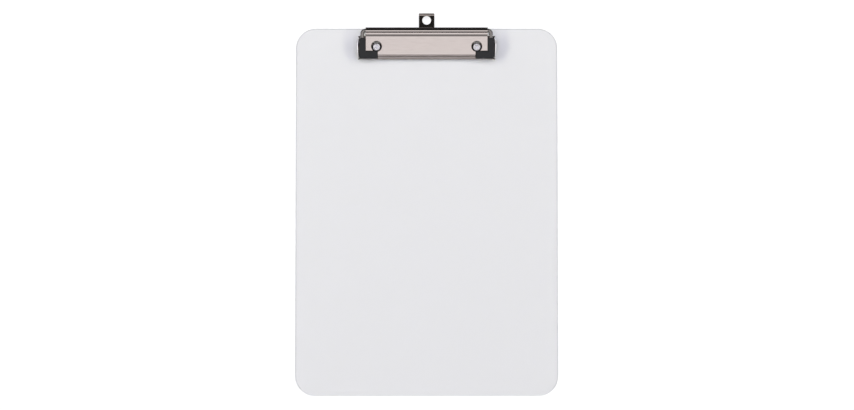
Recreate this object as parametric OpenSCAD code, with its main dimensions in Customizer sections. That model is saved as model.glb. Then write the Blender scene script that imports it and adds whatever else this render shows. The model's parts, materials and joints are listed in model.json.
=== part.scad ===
// Clear clipboard with a low-profile sprung clip, rubber corner grips and a
// sliding hanging tab. Millimetres. The board lies flat: its back is on z = 0,
// +Y points to the clip and +Z out of the writing face. The origin is the
// centre of the board's back.

/* [Board] */
// Width of the board
board_w = 225; // [180:1:260]
// Length of the board
board_l = 316; // [240:1:360]
// Thickness of the board
board_t = 3; // [2.4:0.1:5]
// Radius of the board's corners in plan
board_corner_r = 17; // [6:0.5:30]
// Rounding along the board's front and back edges
board_edge_r = 1.4; // [0.4:0.1:2]

/* [Clip sheet metal] */
// Thickness of the steel of base, cover and tab
sheet_t = 0.8; // [0.6:0.05:1]
// Distance from the board's top edge to the hinge rod
rod_inset = 12; // [10:0.5:20]

/* [Base plate] */
// Reach of the base plate in front of the hinge rod
base_front = 14.6; // [13.8:0.1:16]
// Reach of the base plate behind the hinge rod
base_rear = 5.4; // [5:0.1:7]
// Radius of the round top of each ear
ear_r = 8.25; // [8:0.05:9]
// Distance of the ear's middle in front of the hinge rod
ear_setback = 4.8; // [4.2:0.1:5]
// Depth of the ear circle's centre below the board's face
ear_sink = 0.8; // [0.4:0.1:1]
// Outward lean of the ears in degrees
ear_lean = 6; // [2:0.5:10]
// Distance of the flat plate's ends inside the ears
base_inset = 2; // [1.5:0.1:3]
// Length of the spurs beside the ears
spur_l = 4.2; // [3.4:0.1:5]
// Width of the spurs beside the ears
spur_w = 0.9; // [0.6:0.05:1.2]
// Turn of the spurs away from the clip's length in degrees
spur_turn = 48; // [35:1:60]
// Length of each tab guide along the tab
guide_l = 3.2; // [2:0.1:3.4]
// Distance of the front tab guide behind the window's front end
guide_inset = 2; // [1:0.1:3]
// Width of the tab guides' feet
guide_foot_w = 1.2; // [0.8:0.1:2]

/* [Hinge] */
// Diameter of the hinge rod
rod_d = 2.2; // [1.8:0.1:2.6]
// Diameter of the rod's peened heads
rod_head_d = 3; // [2.8:0.1:3.4]
// Thickness of the rod's peened heads
rod_head_t = 0.4; // [0.3:0.05:0.8]
// Radius of the cover's knuckles round the rod
knuckle_r = 2.1; // [1.9:0.05:2.4]

/* [Cover plate] */
// Width of the cover plate
cover_w = 104.8; // [96:0.4:120]
// Fall of the flat lever towards the front in degrees
cover_slope = 6; // [3:0.5:8]
// Reach of the flat lever in front of the hinge rod
flat_front = 10.8; // [10.2:0.1:11.6]
// Reach of the foot in front of the hinge rod
foot_front = 14.1; // [13.6:0.1:15]
// Width of the lip and its foot
lip_w = 84.2; // [76:0.2:88]
// Slope of the lip in degrees
lip_slope = 82; // [74:1:88]
// Outer radius of the bend above the lip
lip_top_r = 1.3; // [1:0.1:1.8]
// Inner radius of the bend above the foot
lip_foot_r = 0.8; // [0.5:0.1:1]
// Rise of the foot from its front edge in degrees
foot_rise = 5; // [0:1:8]
// Distance of the rolled edge behind the hinge rod
roll_rear = 9.05; // [8.5:0.05:11]
// Distance of the step in front of the rolled edge, behind the hinge rod
step_rear = 3.85; // [3.4:0.05:4.2]
// Turn of the step's two bends in degrees
step_turn = 20; // [10:1:26]
// Straight length between the step's two bends
step_run = 1.7; // [1:0.1:2]
// Radius of the step's lower bend, at the sheet's middle
step_low_r = 2.2; // [1.2:0.1:2.4]
// Radius of the step's upper bend, at the sheet's middle
step_top_r = 1; // [0.8:0.1:1.2]
// Turn of the rolled edge round the wire in degrees
roll_wrap = 230; // [215:5:270]
// Reach of the corner notches in front of the hinge rod
notch_front = 7.8; // [7.4:0.1:8]
// Diameter of the rivet access holes
access_d = 9.3; // [7.5:0.1:9.6]

/* [Wire bow] */
// Diameter of the bow's wire
wire_d = 3.2; // [2.6:0.1:3.6]
// Radius of the bow's bends, at the wire's middle
wire_bend_r = 2.9; // [2.5:0.1:4]

/* [Rubber grips] */
// Width of a grip's long side
grip_side_w = 5.4; // [4.8:0.1:6]
// Reach of the grips in front of the hinge rod
grip_front = 14.3; // [14:0.1:15]
// Reach of the grips' long sides behind the hinge rod
grip_rear = 2.5; // [1.5:0.1:3.5]
// Width of a grip's front arm
grip_arm_w = 5.9; // [5.2:0.1:6.2]
// Height of a grip, square to the wire
grip_h = 5.3; // [4.6:0.1:5.6]
// Rubber between the wire and the grip's sole
grip_sole = 1; // [0.7:0.1:1.3]
// Radius of a grip's outer corner
grip_corner_r = 1.2; // [0.6:0.1:2]
// Rubber past the wire's end
grip_cap = 1.5; // [0.8:0.1:2.5]

/* [Springs] */
// Diameter of the spring wire
spring_wire_d = 0.8; // [0.6:0.05:0.9]
// Pitch of the spring's turns
spring_pitch = 1.3; // [1.25:0.05:1.6]
// Whole turns of each spring, besides the half turn between its legs
spring_turns = 5; // [3:1:8]
// Distance of each spring's inner end from the middle
spring_x = 16.5; // [12:0.5:24]
// Reach of the spring's legs behind the rod
spring_leg = 3.6; // [3.2:0.1:4]
// Radius of the bends at the legs' ends
spring_bend_r = 0.5; // [0.45:0.05:0.6]

/* [Rivets] */
// Distance between the two rivets
rivet_span = 86.2; // [82:0.2:88]
// Distance of the rivets in front of the hinge rod
rivet_setback = 4.1; // [4:0.1:4.4]
// Diameter of the rivet's shank
rivet_d = 3.9; // [3:0.1:4.4]
// Diameter of the rivet's flat rear head
rivet_head_d = 8.5; // [6.5:0.1:10]
// Thickness of the rivet's rear head
rivet_head_t = 0.9; // [0.6:0.1:1.2]
// Diameter of the rivet's rolled front end
rivet_roll_d = 6.4; // [5.6:0.1:6.6]
// Radius of the rolled front end's rim
rivet_rim_r = 0.75; // [0.6:0.05:0.8]
// Diameter of the dimple in the rolled front end
rivet_dimple_d = 3; // [2:0.1:3.2]

/* [Hanging tab] */
// Width of the hanging tab
tab_w = 13.4; // [12:0.2:18]
// Reach of the tab behind the hinge rod
tab_rear = 25; // [24:0.1:30]
// Diameter of the hanging hole
tab_hole_d = 7.5; // [5:0.1:7.9]
// Distance from the tab's turned-up end to the middle of the hole
tab_hole_inset = 5.9; // [5.7:0.1:8]
// Length of the turned-up end
tab_lip_l = 1.5; // [0.8:0.1:1.7]
// Rise of the turned-up end in degrees
tab_lip_rise = 28; // [10:1:32]
// Radius of the bend before the turned-up end, at the sheet's middle
tab_bend_r = 1.2; // [0.6:0.1:1.5]
// Width of each stop wing beside the tab
tab_wing_w = 1.6; // [1:0.1:2.4]
// Length of the stop wings along the tab
tab_wing_l = 1.3; // [1:0.1:1.6]
// Travel of the tab from drawn out to pushed in
tab_travel = 12; // [8:0.5:12]

/* [Clearances] */
// Gap under the foot and grips while the clip is shut
jaw_gap = 0.2; // [0.15:0.05:0.3]
// Radial gap of a hole on the rod it turns on
turn_gap = 0.05; // [0.02:0.01:0.1]
// Gap between pieces that pass each other
pass_gap = 0.3; // [0.2:0.05:0.4]
// Gap between the wire and the rolled edge round it
roll_gap = 0.2; // [0.15:0.05:0.3]
// Gap between the cover's ends and the grips beside them
side_gap = 0.2; // [0.15:0.05:0.4]
// Gap between fixed pieces that sit against each other
seat_gap = 0.05; // [0.02:0.01:0.1]
// Depth of the rivet heads' faces inside the board's back
rivet_sink = 0.1; // [0.05:0.05:0.3]
// Gap over and under the sliding tab
slide_gap = 0.1; // [0.05:0.05:0.1]
// Gap between the spring coils and the rod inside them
coil_gap = 0.3; // [0.25:0.05:0.4]
// Gap between the spring coils and the cover above them
cover_gap = 0.7; // [0.7:0.05:1]

/* [Hidden] */
$fn = 64;

// Cutting tools reach this far past the faces they cut.
past = 1;
// A bend in sheet metal takes one step for each of these degrees.
bend_step = 7.5;

// Places along the board, from its top edge.
top_y = board_l / 2;
rod_y = top_y - rod_inset;
rivet_y = rod_y - rivet_setback;
rivet_x = rivet_span / 2;
ear_y = rod_y - ear_setback;
rivet_seat_z = rivet_sink + rivet_head_t;

// Heights, from the board's face upwards.
face_z = board_t;
base_z = face_z + sheet_t;
rod_r = rod_d / 2;
coil_r = rod_r + coil_gap + spring_wire_d / 2;
coil_outer_r = coil_r + spring_wire_d / 2;
rod_z = base_z + max(knuckle_r + pass_gap, coil_outer_r + jaw_gap);

// Cover: the flat's upper surface is a line that falls towards the front.
cover_half = cover_w / 2;
lip_half = lip_w / 2;
flat_under_rod = coil_outer_r + cover_gap;
flat_top_rod = rod_z + flat_under_rod + sheet_t / cos(cover_slope);
function flat_top(y) = flat_top_rod + (y - rod_y) * tan(cover_slope);
half_t = sheet_t / 2;
flat_start_y = rod_y - flat_front;
flat_l = (flat_front + step_rear) / cos(cover_slope);

// Going along the sheet's middle, a bend from one heading to another advances by its
// radius times this.
function advance(from, to) = [sin(to) - sin(from), cos(from) - cos(to)] * sign(to - from);

// Step and rolled edge: the strip behind the step runs on under the wire.
wire_r = wire_d / 2;
roll_in_r = wire_r + roll_gap;
roll_mid_r = roll_in_r + half_t;
roll_y = rod_y + roll_rear;
step_slope = cover_slope + step_turn;
step_end = [rod_y + step_rear, flat_top(rod_y + step_rear) - half_t / cos(cover_slope)]
    + step_low_r * advance(cover_slope, step_slope)
    + step_run * [cos(step_slope), sin(step_slope)]
    + step_top_r * advance(step_slope, cover_slope);
strip_l = (roll_y + roll_mid_r * sin(cover_slope) - step_end.x) / cos(cover_slope);
roll_z = step_end.y + strip_l * sin(cover_slope) + roll_mid_r * cos(cover_slope);

// Lip and foot: their two straight lengths span what lies between the bends.
foot_z = base_z + jaw_gap + sheet_t;
foot_y = rod_y - foot_front;
lip_span = [flat_start_y, flat_top(flat_start_y) - half_t / cos(cover_slope)]
    - (lip_top_r - half_t) * advance(lip_slope, cover_slope) - [foot_y, foot_z - half_t]
    - (lip_foot_r + half_t) * advance(foot_rise, lip_slope);
lip_turn = lip_slope - foot_rise;
lip_l = (lip_span.y * cos(foot_rise) - lip_span.x * sin(foot_rise)) / sin(lip_turn);
foot_l = (lip_span.x * sin(lip_slope) - lip_span.y * cos(lip_slope)) / sin(lip_turn);

// Wire bow: it lies in one plane that falls from the rolled edge to the arms.
side_x = cover_half + max(wire_bend_r, grip_side_w / 2 + side_gap);
arm_y = rod_y - grip_front + grip_arm_w / 2;
arm_z = base_z + jaw_gap + grip_sole + wire_r;
bow_fall = atan2(roll_z - arm_z, roll_y - arm_y);
bow_l = norm([roll_z - arm_z, roll_y - arm_y]);
grip_end_x = lip_half + pass_gap;
arm_end_x = grip_end_x + grip_cap;

// Base plate: the ears stand just outside the grips.
ear_x = side_x + grip_side_w / 2 + pass_gap;
base_half = ear_x - base_inset;
base_front_y = rod_y - base_front;
base_rear_y = rod_y + base_rear;
ear_half_l = sqrt(ear_r * ear_r - ear_sink * ear_sink);
rod_head_x = ear_x + sheet_t + (rod_z - face_z + rod_head_d / 2) * tan(ear_lean) + seat_gap;

// Hanging tab: its wings stop against the narrow end of the base plate's window.
tab_half = tab_w / 2;
wing_half = tab_half + tab_wing_w;
tab_end_y = rod_y + tab_rear;
tab_stop_y = rod_y + tab_wing_l + slide_gap;
window_half = tab_half + pass_gap;
wing_window_half = wing_half + pass_gap;
window_front_y = rod_y - tab_travel - pass_gap;
guide_lift = sheet_t + 2 * slide_gap;
tab_low_z = face_z + slide_gap;

// Springs, measured from the rod's axis: the coil, and the legs' turns and ends.
rings = 8;
coil_steps = rings * spring_turns + rings / 2;
coil_l = spring_pitch * coil_steps / rings;
leg_turn_y = spring_leg - spring_bend_r;
low_turn_z = -coil_r - spring_bend_r;
high_turn_z = coil_r + spring_bend_r;
low_end_z = face_z + slide_gap - rod_z;
high_run = (flat_under_rod - high_turn_z) * cos(cover_slope) + leg_turn_y * sin(cover_slope)
    - slide_gap;

// Draws its children in the Y-Z plane and carries what they extrude along X.
module across() {
    rotate([90, 0, 90]) children();
}

// Middle line of a bent sheet in the Y-Z plane, as points with their heading. Each move
// is a straight length, then a turn in degrees, left or right, at a radius.
function sheet_line(start, heading, moves, i = 0) =
    i == len(moves) ? [] :
    let (
        run = moves[i][0],
        turn = moves[i][1],
        r = moves[i][2] * sign(turn),
        to = start + run * [cos(heading), sin(heading)],
        centre = to + r * [-sin(heading), cos(heading)],
        steps = ceil(abs(turn) / bend_step),
        bent = [for (k = [(run > 0 ? 0 : 1) : 1 : steps])
            let (h = heading + turn * k / max(steps, 1))
            [centre.x + r * sin(h), centre.y - r * cos(h), h]],
        next = bent[len(bent) - 1]
    )
    concat(bent, sheet_line([next.x, next.y], next.z, moves, i + 1));

// Outline of the sheet round its middle line, from the first point on.
function sheet_outline(start, heading, moves) =
    let (
        line = concat([[start.x, start.y, heading]], sheet_line(start, heading, moves)),
        last = len(line) - 1
    )
    concat(
        [for (p = line) [p.x - half_t * sin(p.z), p.y + half_t * cos(p.z)]],
        [for (i = [last : -1 : 0]) [
            line[i].x + half_t * sin(line[i].z), line[i].y - half_t * cos(line[i].z)
        ]]
    );

module bent_sheet(start, heading, moves, half_w) {
    translate([-half_w, 0, 0]) across() linear_extrude(2 * half_w)
        polygon(sheet_outline(start, heading, moves));
}

// Solid rod along X through the hinge line.
module hinge_line(r, half_l) {
    translate([-half_l, rod_y, rod_z]) rotate([0, 90, 0]) cylinder(r = r, h = 2 * half_l);
}

// Children at the right, and their mirror image at the left.
module both_sides() {
    children();
    mirror([1, 0, 0]) children();
}

// Cross-section of the board's rim: x runs outwards, y through the thickness.
module rim_section(depth) {
    edge = min(board_edge_r, board_t / 2 - 0.05);
    union() {
        square([depth - edge, board_t]);
        translate([0, edge]) square([depth, board_t - 2 * edge]);
        translate([depth - edge, edge]) circle(r = edge);
        translate([depth - edge, board_t - edge]) circle(r = edge);
    }
}

// The sheet: a slab between four straight rims and four turned corners.
module board() {
    half_w = board_w / 2;
    half_l = board_l / 2;
    r = board_corner_r;
    color("whitesmoke", 0.5) difference() {
        union() {
            translate([r - half_w, r - half_l, 0])
                cube([board_w - 2 * r, board_l - 2 * r, board_t]);
            for (side = [0, 1]) mirror([side, 0, 0])
                translate([half_w - r, half_l - r, 0]) rotate([90, 0, 0])
                    linear_extrude(board_l - 2 * r) rim_section(r);
            for (side = [0, 1]) mirror([0, side, 0])
                translate([r - half_w, half_l - r, 0]) across()
                    linear_extrude(board_w - 2 * r) rim_section(r);
            for (x = [0, 1], y = [0, 1]) mirror([x, 0, 0]) mirror([0, y, 0])
                translate([half_w - r, half_l - r, 0]) rotate_extrude(angle = 90) rim_section(r);
        }
        both_sides() translate([rivet_x, rivet_y, 0]) {
            translate([0, 0, -past]) cylinder(d = rivet_d + 2 * seat_gap, h = board_t + 2 * past);
            translate([0, 0, -past])
                cylinder(d = rivet_head_d + 2 * pass_gap, h = past + rivet_seat_z);
        }
    }
}

// Outline of the flat part of the base plate.
module base_outline() {
    translate([-base_half, base_front_y]) square([2 * base_half, base_rear_y - base_front_y]);
    translate([-ear_x - sheet_t, ear_y - ear_half_l])
        square([2 * (ear_x + sheet_t), 2 * ear_half_l]);
    both_sides() for (way = [-1, 1])
        translate([base_half, ear_y + way * (ear_half_l - spur_w)]) rotate(way * spur_turn)
            translate([-spur_w / 2, -spur_w / 2]) square([spur_l, spur_w]);
}

// Arch over the sliding tab, seen along the tab.
module guide_arch(half_w) {
    foot_half = half_w + guide_foot_w;
    crown_half = half_w + guide_foot_w / 2;
    crown_z = guide_lift + sheet_t;
    polygon([
        [-half_w, 0], [-half_w, guide_lift], [half_w, guide_lift], [half_w, 0],
        [foot_half, 0], [foot_half, sheet_t], [crown_half, crown_z],
        [-crown_half, crown_z], [-foot_half, sheet_t], [-foot_half, 0]
    ]);
}

module tab_guide(y, half_w) {
    translate([0, y + guide_l, face_z]) rotate([90, 0, 0])
        linear_extrude(guide_l) guide_arch(half_w);
}

// Upturned ear with a round top, leaning outwards.
module base_ear() {
    translate([ear_x + sheet_t, ear_y, face_z]) rotate([0, ear_lean, 0])
        translate([-sheet_t, 0, 0]) across() linear_extrude(sheet_t) intersection() {
            translate([0, -ear_sink]) circle(r = ear_r);
            translate([-ear_r, 0]) square([2 * ear_r, ear_r]);
        }
}

module base_plate() {
    color("silver") difference() {
        union() {
            difference() {
                translate([0, 0, face_z]) linear_extrude(sheet_t) base_outline();
                // Window for the tab, and its wider part for the stop wings.
                translate([-window_half, window_front_y, face_z - past])
                    cube([2 * window_half, board_l, sheet_t + 2 * past]);
                translate([-wing_window_half, window_front_y, face_z - past])
                    cube([2 * wing_window_half, tab_stop_y - window_front_y, sheet_t + 2 * past]);
            }
            both_sides() base_ear();
            tab_guide(base_rear_y - guide_l, window_half);
            tab_guide(window_front_y + guide_inset, wing_window_half);
        }
        hinge_line(rod_r + turn_gap, rod_head_x + past);
        both_sides() {
            translate([rivet_x, rivet_y, face_z - past])
                cylinder(d = rivet_d + 2 * seat_gap, h = sheet_t + 2 * past);
            translate([spring_x, rod_y + spring_leg, face_z - past])
                cylinder(d = spring_wire_d + pass_gap, h = sheet_t + 2 * past);
        }
    }
}

module hinge_rod() {
    color("dimgray") {
        hinge_line(rod_r, rod_head_x);
        both_sides() translate([rod_head_x, rod_y, rod_z]) rotate([0, 90, 0])
            cylinder(d1 = rod_head_d, d2 = rod_d, h = rod_head_t);
    }
}

// Side knuckle of the cover, from the flat down to the rod.
module knuckle() {
    front_z = flat_top(rod_y - knuckle_r) - half_t;
    rear_z = flat_top(rod_y + knuckle_r) - half_t;
    translate([cover_half - sheet_t, 0, 0]) across() linear_extrude(sheet_t) union() {
        translate([rod_y, rod_z]) circle(r = knuckle_r);
        polygon([
            [rod_y - knuckle_r, rod_z], [rod_y + knuckle_r, rod_z],
            [rod_y + knuckle_r, rear_z], [rod_y - knuckle_r, front_z]
        ]);
    }
}

// From front to rear: foot, lip, flat lever, step and rolled edge.
module cover_plate() {
    color("gainsboro") difference() {
        union() {
            difference() {
                bent_sheet([foot_y, foot_z - half_t], foot_rise, [
                    [foot_l, lip_turn, lip_foot_r + half_t],
                    [lip_l, cover_slope - lip_slope, lip_top_r - half_t],
                    [flat_l, step_turn, step_low_r],
                    [step_run, -step_turn, step_top_r],
                    [strip_l, roll_wrap, roll_mid_r]
                ], cover_half);
                // The two front corners are notched for the grips.
                both_sides() translate([lip_half, foot_y - past, face_z])
                    cube([cover_w, foot_front - notch_front + past, roll_z]);
            }
            both_sides() knuckle();
        }
        hinge_line(rod_r + turn_gap, cover_half + past);
        both_sides() translate([rivet_x, rivet_y, base_z])
            cylinder(d = access_d, h = flat_top(rod_y) - base_z + past);
    }
}

// Half of the bow's wire, drawn flat: y runs from the rolled edge to the arms. Its straight
// lengths and its bends start from one circle, so that they meet exactly.
module bow_half(r) {
    bend = wire_bend_r;
    side_l = bow_l - 2 * bend;
    back_l = side_x - bend;
    module section() translate([bend, 0]) circle(r = r);
    module run(turn, length) rotate([90, 0, turn]) linear_extrude(length) section();
    translate([back_l, -bend, 0]) {
        translate([-back_l, 0, 0]) run(90, back_l);
        rotate_extrude(angle = 90) section();
        run(0, side_l);
        translate([0, -side_l, 0]) {
            rotate(-90) rotate_extrude(angle = 90) section();
            run(-90, back_l - arm_end_x);
        }
    }
}

module bow_place() {
    translate([0, roll_y, roll_z]) rotate([bow_fall, 0, 0]) children();
}

module wire_bow() {
    color("gray") bow_place() both_sides() bow_half(wire_r);
}

// Plan of the right-hand grip: a long side and a front arm with a round outer corner.
module grip_plan() {
    outer = side_x + grip_side_w / 2;
    front = rod_y - grip_front;
    r = grip_corner_r;
    translate([outer - grip_side_w, front + r]) square([grip_side_w, grip_front + grip_rear - r]);
    translate([grip_end_x, front]) square([outer - r - grip_end_x, grip_arm_w]);
    translate([outer - r, front + r]) circle(r = r);
}

module grip() {
    color([0.1, 0.1, 0.11]) difference() {
        intersection() {
            translate([0, 0, base_z + jaw_gap]) linear_extrude(roll_z) grip_plan();
            bow_place() translate([0, -2 * bow_l, -grip_h / 2]) cube([cover_w, 3 * bow_l, grip_h]);
        }
        bow_place() bow_half(wire_r + seat_gap);
        hinge_line(rod_r + pass_gap, cover_w);
    }
}

module grip_right() {
    grip();
}

module grip_left() {
    mirror([1, 0, 0]) grip();
}

// Path of a spring's wire, from the rod's axis: x along the rod, then y and z.
function arc(x, y, z, from, to) = [
    for (i = [0 : 3]) let (a = from + (to - from) * i / 3)
        [x, y + spring_bend_r * cos(a), z + spring_bend_r * sin(a)]
];
spring_path = concat(
    [[0, spring_leg, low_end_z]],
    arc(0, leg_turn_y, low_turn_z, 0, 90),
    [for (i = [0 : coil_steps])
        let (a = -90 - 360 * i / rings)
        [spring_pitch * i / rings, coil_r * cos(a), coil_r * sin(a)]],
    arc(coil_l, leg_turn_y, high_turn_z, -90, cover_slope),
    [[
        coil_l,
        leg_turn_y + spring_bend_r * cos(cover_slope) - high_run * sin(cover_slope),
        high_turn_z + spring_bend_r * sin(cover_slope) + high_run * cos(cover_slope)
    ]]
);

// Least gap between stretches of the wire that aren't neighbours, on its points.
spring_least_gap = min([
    for (i = [0 : len(spring_path) - 1], j = [i + rings / 2 : 1 : len(spring_path) - 1])
        if (j < len(spring_path)) norm(spring_path[i] - spring_path[j]) - spring_wire_d
]);
echo(spring_least_gap_mm = spring_least_gap);

// Tube of six sides carried along a path whose steps never run along X.
function unit(v) = v / norm(v);
function ring_points(path, i, r, sides) =
    let (
        last = len(path) - 1,
        along = unit(path[min(i + 1, last)] - path[max(i - 1, 0)]),
        side = unit([1, 0, 0] - along * along.x),
        up = cross(along, side)
    )
    [for (k = [0 : sides - 1])
        path[i] + r * (cos(360 * k / sides) * side + sin(360 * k / sides) * up)];

module wire_tube(path, r, sides = 6) {
    last = len(path) - 1;
    points = [for (i = [0 : last]) each ring_points(path, i, r, sides)];
    walls = [
        for (i = [0 : last - 1], k = [0 : sides - 1])
            let (a = i * sides + k, b = i * sides + (k + 1) % sides)
            each [[a, a + sides, b], [b, a + sides, b + sides]]
    ];
    ends = [
        for (k = [1 : sides - 2])
            each [[0, k, k + 1], [last * sides, last * sides + k + 1, last * sides + k]]
    ];
    polyhedron(points, concat(walls, ends));
}

module spring() {
    color("darkgray") translate([spring_x, rod_y, rod_z])
        wire_tube(spring_path, spring_wire_d / 2);
}

module spring_right() {
    spring();
}

module spring_left() {
    mirror([1, 0, 0]) spring();
}

// Semi-tubular rivet: flat rear head, shank, and a front end rolled over the base plate.
module rivet() {
    rim_y = rivet_roll_d / 2 - rivet_rim_r;
    color("lightgray") difference() {
        rotate_extrude() {
            translate([0, rivet_sink]) square([rivet_head_d / 2, rivet_head_t]);
            translate([0, rivet_sink]) square([rivet_d / 2, base_z - rivet_sink + rivet_rim_r]);
            translate([0, base_z]) square([rim_y, rivet_rim_r]);
            intersection() {
                translate([rim_y, base_z + rivet_rim_r / 2]) circle(r = rivet_rim_r);
                translate([0, base_z]) square(rivet_roll_d);
            }
        }
        translate([0, 0, base_z - half_t]) cylinder(d = rivet_dimple_d, h = board_l);
    }
}

module rivet_right() {
    translate([rivet_x, rivet_y, 0]) rivet();
}

module rivet_left() {
    translate([-rivet_x, rivet_y, 0]) rivet();
}

// Sliding tab: flat strip with stop wings, a hanging hole and a turned-up end.
module hanger_tab() {
    flat_run = tab_rear - tab_lip_l * cos(tab_lip_rise) - tab_bend_r * sin(tab_lip_rise);
    color("dimgray") difference() {
        union() {
            bent_sheet([rod_y, tab_low_z + half_t], 0, [
                [flat_run, tab_lip_rise, tab_bend_r], [tab_lip_l, 0, tab_bend_r]
            ], tab_half);
            translate([-wing_half, rod_y, tab_low_z]) cube([2 * wing_half, tab_wing_l, sheet_t]);
        }
        translate([0, tab_end_y - tab_hole_inset, face_z - past])
            cylinder(d = tab_hole_d, h = sheet_t + 3 * past);
    }
}

board();
base_plate();
hinge_rod();
cover_plate();
wire_bow();
grip_left();
grip_right();
spring_left();
spring_right();
rivet_left();
rivet_right();
hanger_tab();
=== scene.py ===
import json
import math

import bpy
import numpy as np
from mathutils.geometry import delaunay_2d_cdt
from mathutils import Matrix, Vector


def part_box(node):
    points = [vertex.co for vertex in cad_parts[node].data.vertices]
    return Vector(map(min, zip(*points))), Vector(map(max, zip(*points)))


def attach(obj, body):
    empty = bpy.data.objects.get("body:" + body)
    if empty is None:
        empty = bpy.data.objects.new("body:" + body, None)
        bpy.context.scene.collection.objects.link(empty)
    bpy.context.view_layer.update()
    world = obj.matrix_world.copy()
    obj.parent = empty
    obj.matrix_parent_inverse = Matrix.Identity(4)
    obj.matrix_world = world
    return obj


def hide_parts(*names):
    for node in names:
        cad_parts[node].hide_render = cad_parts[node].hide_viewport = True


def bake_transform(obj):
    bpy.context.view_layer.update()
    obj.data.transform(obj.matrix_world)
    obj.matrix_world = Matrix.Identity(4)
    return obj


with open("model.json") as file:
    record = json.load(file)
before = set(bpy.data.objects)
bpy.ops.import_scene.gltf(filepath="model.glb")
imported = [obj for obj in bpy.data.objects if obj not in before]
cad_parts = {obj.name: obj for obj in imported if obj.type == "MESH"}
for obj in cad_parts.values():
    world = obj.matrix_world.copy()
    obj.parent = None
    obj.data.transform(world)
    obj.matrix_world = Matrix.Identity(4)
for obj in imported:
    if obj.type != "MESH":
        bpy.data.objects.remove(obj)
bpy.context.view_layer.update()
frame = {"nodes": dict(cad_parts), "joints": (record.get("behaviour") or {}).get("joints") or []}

# --- Board -------------------------------------------------------------------------
# A sheet of clear polystyrene, injection moulded with round corners and a polished,
# rounded rim. Two holes near the top edge take the clip's rivets, and each is widened
# at the back so that the rivet's flat head lies inside the sheet.

MM = 0.001


def span(node):
    """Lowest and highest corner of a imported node, in millimetres."""
    return [np.array(corner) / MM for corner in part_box(node)]


def arc(centre, radius, start, end, steps):
    """Points on a circle: centre + radius * (cos a, sin a), a from start to end in degrees."""
    a = np.radians(np.linspace(start, end, steps + 1))
    return np.array(centre) + radius * np.stack([np.cos(a), np.sin(a)], 1)


def offset(loop, distance):
    """The loop moved outwards: each point goes along the sum of its two edges' normals,
    divided by one plus their dot product, so that straight edges move by the distance."""
    edge = np.roll(loop, -1, 0) - loop
    edge = edge / np.linalg.norm(edge, axis=1)[:, None]
    after = np.stack([edge[:, 1], -edge[:, 0]], 1)
    before = np.roll(after, 1, 0)
    mitre = (before + after) / (1 + (before * after).sum(1))[:, None]
    return loop + distance * mitre


def inside(points, loops):
    """True where a point lies inside an odd number of the loops, counting the edges that
    a ray to the right crosses."""
    odd = np.zeros(len(points), bool)
    for loop in loops:
        a, b = loop[None], np.roll(loop, -1, 0)[None]
        x, y = points[:, None, 0], points[:, None, 1]
        rise = np.where(a[..., 1] == b[..., 1], 1e-12, b[..., 1] - a[..., 1])
        crossing = a[..., 0] + (y - a[..., 1]) / rise * (b[..., 0] - a[..., 0])
        odd ^= (((a[..., 1] > y) != (b[..., 1] > y)) & (x < crossing)).sum(1) % 2 == 1
    return odd


def fill(loops, lines=()):
    """Triangles that fill the first loop and leave out the others, cut along the lines,
    with only the points that they use."""
    chains = [np.concatenate([loop, loop[:1]]) for loop in loops] + [np.array(c) for c in lines]
    points, edges, first = [], [], 0
    for chain in chains:
        points += chain.tolist()
        edges += [(first + i, first + i + 1) for i in range(len(chain) - 1)]
        first += len(chain)
    made = delaunay_2d_cdt([p[:2] for p in points], edges, [], 0, 1e-6)
    flat = np.array([list(v) for v in made[0]])
    faces = np.array(made[2])
    faces = faces[inside(flat[faces].mean(1), loops)]
    used, renumbered = np.unique(faces, return_inverse=True)
    return flat[used], renumbered.reshape(faces.shape)


def ring_faces(rings, sides):
    """Quads between neighbouring rings of points, where each ring closes on itself and
    point j of ring i has the number i * sides + j."""
    ring = np.arange(rings - 1)[:, None] * sides
    here = np.arange(sides)
    after = (here + 1) % sides
    corners = ring + here, ring + after, ring + sides + after, ring + sides + here
    return np.stack(corners, -1).reshape(-1, 4)


def piece(name, parts, body, slot, finish, *stands_for):
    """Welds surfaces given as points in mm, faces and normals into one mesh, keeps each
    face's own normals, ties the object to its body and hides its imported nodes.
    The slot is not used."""
    points = np.concatenate([p for p, _, _ in parts])
    normals = np.concatenate([n for _, _, n in parts])
    starts = np.cumsum([0] + [len(p) for p, _, _ in parts])
    _, first, same = np.unique(np.round(points, 4), axis=0, return_index=True, return_inverse=True)
    same = same.ravel()
    faces, corners = [], []
    for (_, part_faces, _), start in zip(parts, starts):
        for face in (np.asarray(part_faces) + start).tolist():
            kept = [c for k, c in enumerate(face) if same[c] != same[face[k - 1]]]
            if len(kept) > 2:
                faces.append([same[c] for c in kept])
                corners += kept
    mesh = bpy.data.meshes.new(name)
    mesh.from_pydata((points[first] * MM).tolist(), [], faces)
    mesh.polygons.foreach_set("use_smooth", np.ones(len(faces), bool))
    mesh.normals_split_custom_set(normals[corners].tolist())
    mesh.materials.append(finish)
    made = bpy.data.objects.new(name, mesh)
    bpy.context.scene.collection.objects.link(made)
    if body:
        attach(made, body)
    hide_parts(*stands_for)
    return made


def paint(code):
    """An sRGB hex colour as linear red, green, blue and alpha: each part is divided by 12.92
    where it is dark, and is ((part + 0.055) / 1.055) to the power 2.4 elsewhere."""
    parts = [int(code[i : i + 2], 16) / 255 for i in (1, 3, 5)]
    return [c / 12.92 if c <= 0.04045 else ((c + 0.055) / 1.055) ** 2.4 for c in parts] + [1.0]


def add(tree, kind, inputs=(), **settings):
    """Adds a node, sets its own settings, and fills its inputs with values or links."""
    made = tree.nodes.new(kind)
    for name, value in settings.items():
        setattr(made, name, value)
    for name, value in dict(inputs).items():
        if isinstance(value, bpy.types.NodeSocket):
            tree.links.new(value, made.inputs[name])
        else:
            made.inputs[name].default_value = value
    return made


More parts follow.
